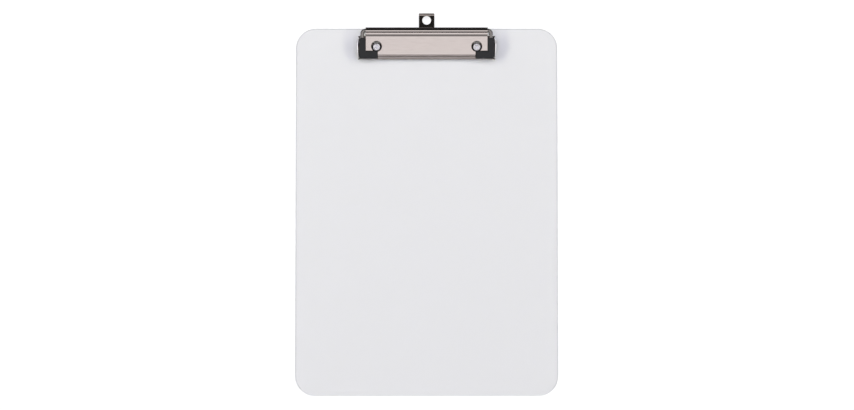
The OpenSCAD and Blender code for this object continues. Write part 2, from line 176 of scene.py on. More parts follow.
def formula(tree, operation, *values):
    """One arithmetic step on numbers or links, and what it gives."""
    return add(tree, "ShaderNodeMath", dict(enumerate(values)), operation=operation).outputs[0]


def coordinates(tree, kind="Object"):
    """The object's own coordinates, in metres, which move with the piece, or another kind."""
    return add(tree, "ShaderNodeTexCoord").outputs[kind]


def split(tree, vector):
    """A vector's X, Y and Z."""
    return add(tree, "ShaderNodeSeparateXYZ", {"Vector": vector}).outputs


def mapped(tree, value, start, end, low=0.0, high=1.0):
    """The value on a straight line from low at its start to high at its end, level beyond."""
    return add(tree, "ShaderNodeMapRange", {
        "Value": value, "From Min": start, "From Max": end, "To Min": low, "To Max": high,
    }).outputs["Result"]


def mix(tree, factor, low, high):
    """A colour that goes from low at factor 0 to high at factor 1."""
    sockets = {"Factor": factor, 6: low, 7: high}
    return add(tree, "ShaderNodeMix", sockets, data_type="RGBA").outputs[2]


def material(name, **sockets):
    """A material with one Principled shader, its sockets set by name, and its tree."""
    made = bpy.data.materials.new(name)
    made.use_nodes = True
    shader = made.node_tree.nodes["Principled BSDF"]
    for socket, value in sockets.items():
        shader.inputs[socket.replace("_", " ")].default_value = value
    return made, made.node_tree, shader


BOARD_CORNER_R = 17.0
BOARD_RIM_R = 1.4
BOARD_COLOUR = "#F6F6F8"
# Painted shade: the rim's darker grey, for the thin dark line at the sheet's edge.
BOARD_RIM_SHADE_COLOUR = "#D6D6DB"
RIM_SHADE_FROM, RIM_SHADE_TO = 0.05, 0.5
RIVET_HOLE_R = 2.0
RIVET_RECESS_R = 4.55
RIVET_RECESS_DEPTH = 1.0
CORNER_STEPS = 40
RIM_STEPS = 10

board_lo, board_hi = span("board")
rivet_lo, rivet_hi = span("rivet_right")
rivet_at = (rivet_lo + rivet_hi)[:2] / 2
board_loop = np.concatenate([
    arc(
        [x * (board_hi[0] - BOARD_CORNER_R), y * (board_hi[1] - BOARD_CORNER_R)],
        BOARD_CORNER_R, start, start + 90, CORNER_STEPS,
    )
    for x, y, start in ((1, 1, 0), (-1, 1, 90), (-1, -1, 180), (1, -1, 270))
])


def rim(loop, profile):
    """A profile carried round a loop: each of its points is a distance outwards, a height
    and the tilt of the surface there, from 0 facing up to 90 outwards and 180 down."""
    outwards = offset(loop, 1.0) - loop
    direction = outwards / np.linalg.norm(outwards, axis=1)[:, None]
    points, normals = [], []
    for distance, height, tilt in profile:
        flat = loop + distance * outwards
        points.append(np.column_stack([flat, np.full(len(flat), height)]))
        lean = math.sin(math.radians(tilt))
        normals.append(np.column_stack([
            direction * lean, np.full(len(flat), math.cos(math.radians(tilt))),
        ]))
    faces = ring_faces(len(profile), len(loop))[:, ::-1]
    return np.concatenate(points), faces, np.concatenate(normals)


def level(loops, height, way):
    """A flat face at a height that fills the loops, facing up for way 1 and down for -1,
    where its corners are numbered backwards."""
    flat, faces = fill(loops)
    points = np.column_stack([flat, np.full(len(flat), height)])
    normals = np.tile([0.0, 0.0, way], (len(flat), 1))
    return points, faces[:, ::way], normals


top_z, back_z = board_hi[2], board_lo[2]
round_rim = []
for tilt in np.linspace(0, 90, RIM_STEPS + 1):
    out = BOARD_RIM_R * (math.sin(math.radians(tilt)) - 1)
    drop = BOARD_RIM_R * (1 - math.cos(math.radians(tilt)))
    round_rim += [(out, top_z - drop, tilt), (out, back_z + drop, 180 - tilt)]
round_rim.sort(key=lambda step: (step[2], -step[1]))


def hole(x, y, radius, steps=48):
    """A round hole: a circle that runs clockwise."""
    return arc([x, y], radius, 360, 0, steps)[:-1]


rivet_holes = [hole(side * rivet_at[0], rivet_at[1], RIVET_HOLE_R) for side in (-1, 1)]
recess = RIVET_RECESS_R - RIVET_HOLE_R
recess_z = back_z + RIVET_RECESS_DEPTH
hole_walls = [
    [(0, top_z, 90), (0, recess_z, 90)],
    [(0, recess_z, 180), (-recess, recess_z, 180)],
    [(-recess, recess_z, 90), (-recess, back_z, 90)],
]
flat_edge = offset(board_loop, -BOARD_RIM_R)
plastic_and_rim_shade, tree, shader = material(
    "clear_polystyrene_and_painted_rim_shade", Roughness=0.03, IOR=1.59, Transmission_Weight=1.0,
)
# The rim is painted greyer at the sides and the rear: painted shade for the thin dark line
# that the sheet's rounded edge shows there. It is found by the surface's normal: its X to
# either side, or its Y.
facing = split(tree, coordinates(tree, "Normal"))
outwards = formula(tree, "MAXIMUM", formula(tree, "ABSOLUTE", facing["X"]), facing["Y"])
edge = mapped(tree, outwards, RIM_SHADE_FROM, RIM_SHADE_TO)
painted_light_tone = mix(tree, edge, paint(BOARD_COLOUR), paint(BOARD_RIM_SHADE_COLOUR))
tree.links.new(painted_light_tone, shader.inputs["Base Color"])
board = piece(
    "clear_board",
    [
        rim(board_loop, round_rim),
        level([flat_edge] + rivet_holes, top_z, 1),
        level([flat_edge] + [offset(h, -recess) for h in rivet_holes], back_z, -1),
    ] + [rim(hole, wall) for hole in rivet_holes for wall in hole_walls],
    "root", "clear_plastic", plastic_and_rim_shade, "board",
)
board.visible_shadow = False

# --- Rivets ------------------------------------------------------------------------
# Two semi-tubular steel rivets, bright zinc-plated. Each flat head lies in its recess
# at the back, and the front end was rolled over the base plate by the rivet press.

NOISE_LOW, NOISE_HIGH = 0.3, 0.7


def worn(tree, shader, roughness, spread, size, bump, stretch=(1, 1, 1)):
    """Uneven polish: one noise of this size in mm, stretched along the working marks,
    moves the roughness by its spread and tilts the surface by the bump in mm. The noise
    lies mostly between NOISE_LOW and NOISE_HIGH."""
    place = add(tree, "ShaderNodeMapping", {"Vector": coordinates(tree), "Scale": stretch})
    noise = add(tree, "ShaderNodeTexNoise", {
        "Vector": place.outputs["Vector"], "Scale": 1 / (size * MM),
        "Detail": 4.0, "Roughness": 0.6,
    }).outputs["Fac"]
    polish = mapped(tree, noise, NOISE_LOW, NOISE_HIGH, roughness - spread, roughness + spread)
    tree.links.new(polish, shader.inputs["Roughness"])
    relief = add(tree, "ShaderNodeBump", {"Height": noise, "Strength": 1.0, "Distance": bump * MM})
    tree.links.new(relief.outputs["Normal"], shader.inputs["Normal"])


def dress(node, finish):
    """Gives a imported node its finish."""
    for slot in frame["nodes"][node].material_slots:
        slot.material = finish


rivet_steel, tree, shader = material(
    "bright_zinc_plate", Base_Color=paint("#EFECE6"), Metallic=0.45,
)
worn(tree, shader, roughness=0.3, spread=0.08, size=0.8, bump=0.01)
dress("rivet_left", rivet_steel)
dress("rivet_right", rivet_steel)

# --- Base plate --------------------------------------------------------------------
# Steel strip, blanked and folded, then nickel-plated. It carries the hinge rod in its
# two ears, has a spur at each corner, and guides the hanging tab under two arches.

SHEET = 0.8
BURR_R = 0.12
BEND_STEP = 4.0
LIFT = 0.01
PASS_GAP = 0.3
SLIDE_GAP = 0.1
BASE_FRONT = 14.6
BASE_REAR = 5.4
BASE_INSET = 2.0
PLATE_INSET = 1.2
FOOT_OVERLAP = 0.2
EAR_R = 8.25
EAR_SETBACK = 4.8
EAR_SINK = 0.8
EAR_LEAN = 6.0
EAR_BEND_R = 1.0
EAR_RIM_R = 0.3
SPUR_L = 3.75
SPUR_W = 0.9
SPUR_TURN = 48.0
WINDOW_HALF = 7.0
WINDOW_STEP = 1.4
WING_WINDOW_HALF = 8.6
WING_WINDOW_FRONT = 12.3
GUIDE_L = 3.2
GUIDE_INSET = 2.0
GUIDE_FOOT_W = 1.2
ROD_HOLE_R = 1.15
SPRING_WIRE_R = 0.4
SPRING_LEG = 3.6
LEG_HOLE_R = 0.55
NICKEL_COLOUR = "#D6CAC5"
# Painted highlight: a pale, nearly matt tone on the ears' inner faces and cut rims.
PAINTED_HIGHLIGHT_COLOUR = "#FBF8F6"
PAINTED_HIGHLIGHT_METALLIC = 0.1
PAINTED_HIGHLIGHT_HEIGHT = 1.2
PAINTED_HIGHLIGHT_INSET = 3.0
OUTER_FACE = 0.8
ROLLING_STRETCH = (0.15, 1, 1)
RIM_TILTS = np.radians([0, 22.5, 45, 67.5, 90, 90, 112.5, 135, 157.5, 180])


def bent(start, heading, moves):
    """The middle line of a folded strip: straight lengths, each followed by a turn in
    degrees at a radius. Gives a function from length along it to place and heading, the
    lengths where the turns are cut into steps, and the whole length."""
    stretches, cuts, s = [], [], 0.0
    p, z, h = *start, math.radians(heading)
    for run, turn_deg, radius in moves:
        stretches.append((s, p, z, h, 0.0))
        p, z, s = p + run * math.cos(h), z + run * math.sin(h), s + run
        if turn_deg:
            angle = math.radians(turn_deg)
            length = abs(angle) * radius
            curve = angle / length
            stretches.append((s, p, z, h, curve))
            cuts += np.linspace(s, s + length, math.ceil(abs(turn_deg) / BEND_STEP) + 1).tolist()
            p += (math.sin(h + angle) - math.sin(h)) / curve
            z -= (math.cos(h + angle) - math.cos(h)) / curve
            h, s = h + angle, s + length

    def at(lengths):
        found = [np.zeros(len(lengths)) for _ in range(3)]
        for s0, p0, z0, h0, curve in stretches:
            u = lengths - s0
            here = (u >= 0) | (s0 == 0)
            turned = h0 + curve * u
            if curve:
                ends = (p0 + (np.sin(turned) - math.sin(h0)) / curve,
                        z0 - (np.cos(turned) - math.cos(h0)) / curve, turned)
            else:
                ends = p0 + u * math.cos(h0), z0 + u * math.sin(h0), turned
            found = [np.where(here, new, old) for new, old in zip(ends, found)]
        return found

    return at, cuts, s


def on_plane(origin, u, v):
    """Places a blank's points on a plane: origin + a * u + b * v + height * (u x v)."""
    u, v = np.array(u, float), np.array(v, float)
    w = np.cross(u, v)

    def place(flat, height):
        points = np.array(origin) + flat[:, :1] * u + flat[:, 1:] * v + height * w
        return points, *(np.tile(axis, (len(flat), 1)) for axis in (u, v, w))

    return place


def on_fold(at, side, along):
    """Places a blank's points on a folded strip: its width runs along side, its length
    follows the bent line in the plane of along and +Z, and its height is square to both."""
    side, along = np.array(side, float), np.array(along, float)
    up = np.array([0.0, 0.0, 1.0])

    def place(flat, height):
        p, z, h = (value[:, None] for value in at(flat[:, 1]))
        ahead = np.cos(h) * along + np.sin(h) * up
        above = np.cos(h) * up - np.sin(h) * along
        points = flat[:, :1] * side + p * along + z * up + height * above
        return points, np.tile(side, (len(flat), 1)), ahead, above

    return place


def edge_of(flat, faces):
    """The edge of a net of triangles, which is made of the sides that only one triangle
    uses: its points' numbers, the step outwards at each, twice the sum of its two sides'
    normals over that sum's square, the same way as a unit, and the quads between copies
    of the edge, one copy for each of RIM_TILTS."""
    sides = np.concatenate([faces[:, [0, 1]], faces[:, [1, 2]], faces[:, [2, 0]]])
    key = sides.min(1).astype(np.int64) * (sides.max() + 1) + sides.max(1)
    _, where, count = np.unique(key, return_index=True, return_counts=True)
    edges = sides[where[count == 1]]
    along = flat[edges[:, 1]] - flat[edges[:, 0]]
    out = np.stack([along[:, 1], -along[:, 0]], 1) / np.linalg.norm(along, axis=1)[:, None]
    total = np.zeros_like(flat)
    np.add.at(total, edges[:, 0], out)
    np.add.at(total, edges[:, 1], out)
    ids = np.unique(edges)
    total = total[ids]
    mitre = 2 * total / (total**2).sum(1)[:, None]
    unit = total / np.linalg.norm(total, axis=1)[:, None]
    a, b = np.searchsorted(ids, edges).T
    n = len(ids)
    quads = [np.column_stack([a, a + n, b + n, b]) + k * n for k in range(len(RIM_TILTS) - 1)]
    return ids, mitre, unit, np.concatenate(quads)


def blank(loops, thickness, rim_r, place, cuts=()):
    """A piece of sheet cut to its loops: two faces at half the thickness each side, and a
    rim whose section is a quarter circle at each face, going out as sin and down as
    1 - cos of the tilt. Every point is then placed on the plane or the fold."""
    wide = max(abs(loops[0][:, 0])) + 1
    shrunk = [offset(loop, -rim_r) for loop in loops]
    flat, faces = fill(shrunk, [[(-wide, s), (wide, s)] for s in cuts])
    ids, mitre, unit, quads = edge_of(flat, faces)
    parts = []
    for way in (1, -1):
        points, _, _, up = place(flat, way * thickness / 2)
        parts.append((points, faces[:, ::way], up * way))
    points, normals = [], []
    for step, tilt in enumerate(RIM_TILTS):
        way = 1 if step < len(RIM_TILTS) / 2 else -1
        height = way * (thickness / 2 - rim_r * (1 - abs(math.cos(tilt))))
        at, u, v, up = place(flat[ids] + mitre * rim_r * math.sin(tilt), height)
        points.append(at)
        outwards = unit[:, :1] * u + unit[:, 1:] * v
        normals.append(math.sin(tilt) * outwards + math.cos(tilt) * up)
    parts.append((np.concatenate(points), quads, np.concatenate(normals)))
    return parts


def both_halves(right):
    """A symmetric outline from its right half: the half, then its mirror image backwards."""
    return np.concatenate([right, np.array(right)[::-1] * [-1, 1]])


def mirrored(parts):
    """The same surfaces on the other side of the middle: x changes sign, and each face
    is numbered backwards so that it still points outwards."""
    flip = np.array([-1.0, 1.0, 1.0])
    return [(points * flip, faces[:, ::-1], normals * flip) for points, faces, normals in parts]


hinge = next(j for j in frame["joints"] if j["name"] == "jaw_hinge")
rod_y, rod_z = np.array(hinge["pos_m"][1:]) / MM
grip_lo, grip_hi = span("grip_right")
coil_start = span("spring_right")[0][0] + SPRING_WIRE_R
face_z = board_hi[2]
base_mid_z = face_z + SHEET / 2 + LIFT
ear_x = grip_hi[0] + PASS_GAP + SHEET
ear_y = rod_y - EAR_SETBACK
ear_half = math.sqrt(EAR_R**2 - EAR_SINK**2)
base_front, base_rear = rod_y - BASE_FRONT, rod_y + BASE_REAR
base_half = ear_x - SHEET - BASE_INSET
plate_half = ear_x - PLATE_INSET
window_front, window_step = rod_y - WING_WINDOW_FRONT, rod_y + WINDOW_STEP


def spur(way):
    """One corner spur's outline, as far as the flat plate: an oblong turned away from
    the plate, on the front side for way -1 and on the rear side for way 1."""
    t = math.radians(SPUR_TURN)
    d, n = np.array([math.cos(t), math.sin(t)]), np.array([-math.sin(t), math.cos(t)])
    root = np.array([base_half, ear_half - SPUR_W])
    inner, outer = root + n * SPUR_W / 2, root - n * SPUR_W / 2
    end_y = (base_rear if way > 0 else 2 * ear_y - base_front) - ear_y
    start = inner + d * (end_y - inner[1]) / d[1]
    end = outer + d * (ear_half - outer[1]) / d[1]
    points = np.array([start, inner + d * SPUR_L, outer + d * SPUR_L, end])
    return np.column_stack([points[:, 0], ear_y + way * points[:, 1]])


base_loop = both_halves(np.concatenate([
    spur(-1), [(plate_half, ear_y - ear_half), (plate_half, ear_y + ear_half)], spur(1)[::-1],
    [(WINDOW_HALF, base_rear), (WINDOW_HALF, window_step)],
    [(WING_WINDOW_HALF, window_step), (WING_WINDOW_HALF, window_front)],
]))
# The plate lies a hair above the board, its ears and its arches, so that no two faces share
# a plane.
plate = on_plane([0, 0, base_mid_z + 2 * LIFT], [1, 0, 0], [0, 1, 0])
leg_y = rod_y + SPRING_LEG
leg_holes = [hole(side * coil_start, leg_y, LEG_HOLE_R, steps=24) for side in (-1, 1)]
base_parts = blank([base_loop] + rivet_holes + leg_holes, SHEET, BURR_R, plate)

lean = math.radians(EAR_LEAN)
ear_mid = ear_x - SHEET / 2 / math.cos(lean)
ear_turn = 90 - EAR_LEAN
ear_start = ear_mid + (base_mid_z - face_z) * math.tan(lean)
ear_start -= EAR_BEND_R * math.tan(math.radians(ear_turn / 2))
foot_x = plate_half - FOOT_OVERLAP
ear_at, ear_cuts, ear_s = bent((foot_x, base_mid_z), 0, [
    (ear_start - foot_x, ear_turn, EAR_BEND_R), (EAR_R, 0, 1),
])
ear_s0 = ear_s - EAR_R
ear_z0 = float(ear_at(np.array([ear_s0]))[1][0])
ear_top = (ear_z0 - face_z) / math.cos(lean) + EAR_SINK
low = math.degrees(math.asin(ear_top / EAR_R))
crown = arc([-ear_y, ear_s0 - ear_top], EAR_R, low, 180 - low, steps=60)
ear_loop = np.concatenate([[(crown[-1][0], 0.0), (crown[0][0], 0.0)], crown])
rod_s = ear_s0 + (rod_z - ear_z0) / math.cos(lean)
rod_hole = hole(-rod_y, rod_s, ROD_HOLE_R, steps=32)
ear_fold = on_fold(ear_at, [0, -1, 0], [1, 0, 0])
ear = blank([ear_loop, rod_hole], SHEET, EAR_RIM_R, ear_fold, ear_cuts)
base_parts += ear + mirrored(ear)

arch_lift = SHEET + 2 * SLIDE_GAP
arch_top = arch_lift + SHEET
for arch_y, arch_half in (
    (base_rear - GUIDE_L / 2, WINDOW_HALF),
    (window_front + GUIDE_INSET + GUIDE_L / 2, WING_WINDOW_HALF),
):
    foot, crown_half = arch_half + GUIDE_FOOT_W, arch_half + GUIDE_FOOT_W / 2
    arch = np.array([
        (-foot, 0), (-arch_half, 0), (-arch_half, arch_lift), (arch_half, arch_lift),
        (arch_half, 0), (foot, 0), (foot, SHEET),
        (crown_half, arch_top), (-crown_half, arch_top), (-foot, SHEET),
    ])
    upright = on_plane([0, arch_y, face_z + LIFT], [1, 0, 0], [0, 0, 1])
    base_parts += blank([arch], GUIDE_L, BURR_R, upright)


def nickel(name, colour, **wear):
    """Bright nickel on rolled steel strip: warm grey, near mirror, with faint rolling
    marks along the strip under the plate."""
    made, tree, shader = material(name, Base_Color=paint(colour), Metallic=1.0)
    worn(tree, shader, stretch=ROLLING_STRETCH, **wear)
    return made, tree, shader


nickel_and_painted_highlight, tree, shader = nickel(
    "nickel_strip_and_painted_highlight", NICKEL_COLOUR, roughness=0.12, spread=0.04, size=1.5, bump=0.001,
)
# The ears' cut rims and inner faces are painted pale and nearly matt: a painted highlight
# for the bright reflection on the ears' inner side. They are found by their height, by their
# distance from the middle, and by a normal that doesn't face outwards.
place = split(tree, coordinates(tree))
facing = split(tree, coordinates(tree, "Normal"))
high = formula(tree, "GREATER_THAN", place["Z"], (face_z + PAINTED_HIGHLIGHT_HEIGHT) * MM)
distance = formula(tree, "ABSOLUTE", place["X"])
far = formula(tree, "GREATER_THAN", distance, (ear_x - PAINTED_HIGHLIGHT_INSET) * MM)
outwards = formula(tree, "MULTIPLY", formula(tree, "SIGN", place["X"]), facing["X"])
turned = formula(tree, "LESS_THAN", outwards, OUTER_FACE)
painted_highlight = formula(tree, "MULTIPLY", formula(tree, "MULTIPLY", high, far), turned)
metallic = formula(tree, "MULTIPLY_ADD", painted_highlight, PAINTED_HIGHLIGHT_METALLIC - 1.0, 1.0)
tree.links.new(metallic, shader.inputs["Metallic"])
painted_light_tone = mix(tree, painted_highlight, paint(NICKEL_COLOUR), paint(PAINTED_HIGHLIGHT_COLOUR))
tree.links.new(painted_light_tone, shader.inputs["Base Color"])
piece("clip_base", base_parts, "root", "nickel_steel", nickel_and_painted_highlight, "base_plate")

# --- Hanging tab -------------------------------------------------------------------
# Nickel-plated steel strip that slides under the base plate's arches, with a round hole
# for a nail or hook, a turned-up end to pull it out by, and two stop wings inside.

TAB_HOLE_R = 3.75
TAB_HOLE_INSET = 5.9
TAB_LIP_L = 1.5
TAB_LIP_RISE = 28.0
TAB_BEND_R = 1.2
TAB_WING = (8.3, 1.3)
TAB_HALF = 6.7
TAB_CORNER = 0.5

tab_lo, tab_hi = span("hanger_tab")
tab_rise = math.radians(TAB_LIP_RISE)
tab_end = tab_hi[1] - SHEET / 2 * math.sin(tab_rise)
tab_run = tab_end - rod_y - TAB_LIP_L * math.cos(tab_rise) - TAB_BEND_R * math.sin(tab_rise)
tab_at, tab_cuts, tab_s = bent((rod_y, tab_lo[2] + SHEET / 2), 0, [
    (tab_run, TAB_LIP_RISE, TAB_BEND_R), (TAB_LIP_L, 0, 1),
])
tab_loop = both_halves([
    (TAB_WING[0], 0), TAB_WING, (TAB_HALF, TAB_WING[1]),
    (TAB_HALF, tab_s - TAB_CORNER), (TAB_HALF - TAB_CORNER, tab_s),
])
tab_hole = hole(0, tab_end - TAB_HOLE_INSET - rod_y, TAB_HOLE_R, steps=64)
tab_fold = on_fold(tab_at, [1, 0, 0], [0, 1, 0])
tab = blank([tab_loop, tab_hole], SHEET, BURR_R, tab_fold, tab_cuts)
piece("hanging_tab", tab, "hanger", "nickel_steel", nickel_and_painted_highlight, "hanger_tab")

# --- Hinge rod ---------------------------------------------------------------------
# A drawn steel rod through the ears and the cover's knuckles, its two ends peened into
# low heads. It was left as drawn, so it is greyer than the plated pieces.

drawn_steel, tree, shader = material("drawn_steel_rod", Base_Color=paint("#B4B2AF"), Metallic=1.0)
worn(tree, shader, roughness=0.3, spread=0.08, size=0.6, bump=0.003, stretch=(0.1, 1, 1))
dress("hinge_rod", drawn_steel)

# --- Springs -----------------------------------------------------------------------
# Two torsion springs wound on the hinge rod. The lower leg stands in the base plate,
# the upper leg presses the cover's flat up, and the coil winds up as the jaw opens.

COIL_R = 1.8
COIL_PITCH = 1.3
COIL_TURNS = 5.5
TURN_STEPS = 32
LEG_BEND_R = 0.5
LEG_GAP = 0.1
COVER_SLOPE = 6.0
COVER_GAP = 0.7

coil_l = COIL_PITCH * COIL_TURNS


def tube(path, radius, sides):
    """A round wire along a path: each ring is the point plus radius times cos and sin of
    the angle round it, on two directions square to the path. Both ends are closed."""
    along = np.gradient(path, axis=0)
    along /= np.linalg.norm(along, axis=1)[:, None]
    side = np.array([1.0, 0, 0]) - along * along[:, :1]
    side /= np.linalg.norm(side, axis=1)[:, None]
    up = np.cross(along, side)
    a = np.linspace(0, 2 * np.pi, sides, endpoint=False)[None, :, None]
    normals = np.cos(a) * side[:, None] + np.sin(a) * up[:, None]
    points = path[:, None] + radius * normals
    parts = [(points.reshape(-1, 3), ring_faces(len(path), sides), normals.reshape(-1, 3))]
    for k, way in ((0, -1), (-1, 1)):
        ring = np.arange(sides)[None, ::way]
        parts.append((points[k], ring, np.tile(along[k] * way, (sides, 1))))
    return parts


slope = math.radians(COVER_SLOPE)
bend_y = SPRING_LEG - LEG_BEND_R
bend_z = COIL_R + LEG_BEND_R
under_flat = COIL_R + SPRING_WIRE_R + COVER_GAP
high_run = (under_flat - bend_z) * math.cos(slope) + bend_y * math.sin(slope) - LEG_GAP
low_leg = [(SPRING_LEG, face_z + LEG_GAP - rod_z), (SPRING_LEG, -bend_z - LIFT)]
low_bend = arc([bend_y, -bend_z], LEG_BEND_R, 0, 90, steps=8)
high_bend = arc([bend_y, bend_z], LEG_BEND_R, -90, COVER_SLOPE, steps=8)
high_leg = high_bend[-1] + high_run * np.array([[-math.sin(slope), math.cos(slope)]])
steps = int(COIL_TURNS * TURN_STEPS)
wind = np.radians(-90 - 360 * np.arange(steps + 1) / TURN_STEPS)
coil = np.stack([COIL_R * np.cos(wind), COIL_R * np.sin(wind)], 1)
route = np.concatenate([low_leg, low_bend, coil, high_bend, high_leg])
along_rod = np.concatenate([
    np.zeros(len(low_leg) + len(low_bend)), np.linspace(0, coil_l, steps + 1),
    np.full(len(high_bend) + 1, coil_l),
])
spring_path = np.column_stack([coil_start + along_rod, rod_y + route[:, 0], rod_z + route[:, 1]])
spring_steel, tree, shader = material("spring_wire", Base_Color=paint("#A9A7A3"), Metallic=1.0)
worn(tree, shader, roughness=0.28, spread=0.06, size=0.5, bump=0.002)
coiled = tube(spring_path, SPRING_WIRE_R, sides=12)
for side, way, parts in (("right", 1, coiled), ("left", -1, mirrored(coiled))):
    spring = piece(
        "torsion_spring_" + side, parts, None, "spring_steel", spring_steel, "spring_" + side,
    )
    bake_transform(spring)

# --- Cover plate -------------------------------------------------------------------
# The jaw: one nickel-plated blank with a foot, a steep lip, a flat lever that falls to
# the front, a low step, and a rear edge rolled up round the wire. A round cutout at each
# end lets the rivet tool in, and two knuckles turn on the hinge rod.

FOOT_FRONT = 14.1
FOOT_RISE = 5.0
LIP_SLOPE = 82.0
LIP_TOP_R = 1.3
LIP_FOOT_R = 0.8
FLAT_FRONT = 10.8
STEP_REAR = 3.85
STEP_TURN = 20.0
STEP_RUN = 1.7
STEP_LOW_R = 2.2
STEP_TOP_R = 1.0
ROLL_OUT_R = 2.6
ROLL_WRAP = 230.0
NOTCH_FRONT = 7.8
LIP_HALF = 42.1
ACCESS_R = 4.65
KNUCKLE_R = 2.1
KNUCKLE_HOLE_R = 1.15

cover_lo, cover_hi = span("cover_plate")
half = SHEET / 2
roll_y, roll_z = cover_hi[1] - ROLL_OUT_R, cover_hi[2] - ROLL_OUT_R
flat_start_y = rod_y - FLAT_FRONT


def flat_top(y):
    """Height of the flat lever's upper face: a line that falls to the front."""
    return rod_z + under_flat + SHEET / math.cos(slope) + (y - rod_y) * math.tan(slope)


def flat_middle(y):
    """The point in the middle of the flat lever's sheet at this place."""
    return np.array([y, flat_top(y) - half / math.cos(slope)])


def advance(start, end):
    """What a bend of radius 1 adds to the place: the change of the heading's sine, and
    its cosine's with the sign turned, both turned again for a bend to the right."""
    a, b = math.radians(start), math.radians(end)
    change = np.array([math.sin(b) - math.sin(a), math.cos(a) - math.cos(b)])
    return math.copysign(1, end - start) * change


rise, steep, climb = (math.radians(d) for d in (FOOT_RISE, LIP_SLOPE, COVER_SLOPE + STEP_TURN))
foot_start = np.array([rod_y - FOOT_FRONT, cover_lo[2] + half * math.cos(rise)])
lip_span = flat_middle(flat_start_y) - (LIP_TOP_R - half) * advance(LIP_SLOPE, COVER_SLOPE)
lip_span -= foot_start + (LIP_FOOT_R + half) * advance(FOOT_RISE, LIP_SLOPE)
foot_l, lip_l = np.linalg.solve(
    [[math.cos(rise), math.cos(steep)], [math.sin(rise), math.sin(steep)]], lip_span,
)
step_end = flat_middle(rod_y + STEP_REAR)
step_end += STEP_LOW_R * advance(COVER_SLOPE, COVER_SLOPE + STEP_TURN)
step_end += STEP_RUN * np.array([math.cos(climb), math.sin(climb)])
step_end += STEP_TOP_R * advance(COVER_SLOPE + STEP_TURN, COVER_SLOPE)
strip_l = (roll_y + (ROLL_OUT_R - half) * math.sin(slope) - step_end[0]) / math.cos(slope)
cover_at, cover_cuts, cover_s = bent(foot_start, FOOT_RISE, [
    (foot_l, LIP_SLOPE - FOOT_RISE, LIP_FOOT_R + half),
    (lip_l, COVER_SLOPE - LIP_SLOPE, LIP_TOP_R - half),
    ((FLAT_FRONT + STEP_REAR) / math.cos(slope), STEP_TURN, STEP_LOW_R),
    (STEP_RUN, -STEP_TURN, STEP_TOP_R),
    (strip_l, ROLL_WRAP, ROLL_OUT_R - half),
])
lip_foot_l = (steep - rise) * (LIP_FOOT_R + half)
lip_top_l = (steep - slope) * (LIP_TOP_R - half)
flat_s = foot_l + lip_foot_l + lip_l + lip_top_l


def along_flat(y):
    """Length along the blank at which the flat lever reaches this place."""
    return flat_s + (y - flat_start_y) / math.cos(slope)


notch_s = along_flat(rod_y - NOTCH_FRONT)
access = np.array([rivet_at[0], along_flat(rivet_at[1])])
cut_low = math.degrees(math.asin((notch_s - access[1]) / ACCESS_R))
cut_side = 360 - math.degrees(math.acos((LIP_HALF - access[0]) / ACCESS_R))
cover_loop = both_halves(np.concatenate([
    [(LIP_HALF, 0.0)], arc(access, ACCESS_R, cut_side, cut_low, steps=72),
    [(cover_hi[0], notch_s), (cover_hi[0], cover_s)],
]))
cover_fold = on_fold(cover_at, [1, 0, 0], [0, 1, 0])
cover_parts = blank([cover_loop], SHEET, BURR_R, cover_fold, cover_cuts)
front_z, rear_z = (flat_top(rod_y + way * KNUCKLE_R) - half for way in (-1, 1))
knuckle_loop = np.concatenate([
    arc([rod_y, rod_z], KNUCKLE_R, 180, 360, steps=24),
    [(rod_y + KNUCKLE_R, rear_z), (rod_y - KNUCKLE_R, front_z)],
])
knuckle = blank(
    [knuckle_loop, hole(rod_y, rod_z, KNUCKLE_HOLE_R, steps=32)], SHEET, BURR_R,
    on_plane([cover_hi[0] - half, 0, 0], [0, 1, 0], [0, 0, 1]),
)
cover_parts += knuckle + mirrored(knuckle)
cover_nickel, _, _ = nickel(
    "nickel_plated_cover", "#D8CDCA", roughness=0.07, spread=0.02, size=1.2, bump=0.0003,
)
piece("clip_cover", cover_parts, "jaw", "nickel_steel", cover_nickel, "cover_plate")

# --- Wire bow ----------------------------------------------------------------------
# Drawn steel wire, nickel-plated. It lies in the cover's rolled edge, and its two sides
# come forward to hold the rubber grips.

bow_steel, tree, shader = material("plated_wire", Base_Color=paint("#9A9593"), Metallic=1.0)
worn(tree, shader, roughness=0.06, spread=0.02, size=0.7, bump=0.0005, stretch=(0.3, 0.3, 1))
dress("wire_bow", bow_steel)

# --- Rubber grips ------------------------------------------------------------------
# Moulded black rubber, one on each end of the bow: a long side beside the clip and a
# short arm under the lip. All edges are rounded, and the sole presses on the paper.

GRIP_SIDE_W = 5.4
GRIP_ARM_W = 5.9
GRIP_HALF_H = 2.65
GRIP_CORNER_R = 1.2
GRIP_EDGE_R = 0.7
GRIP_ARM_OVER_SOLE = 2.6
ROD_GROOVE_R = 1.4
SLOPE_STEP = 0.01


def upright(y, height):
    """The normal of a surface whose height depends on y, from the height's change over a
    short step to either side."""
    rise = (height(y + SLOPE_STEP) - height(y - SLOPE_STEP)) / (2 * SLOPE_STEP)
    up = np.column_stack([np.zeros(len(y)), -rise, np.ones(len(y))])
    return up / np.linalg.norm(up, axis=1)[:, None]


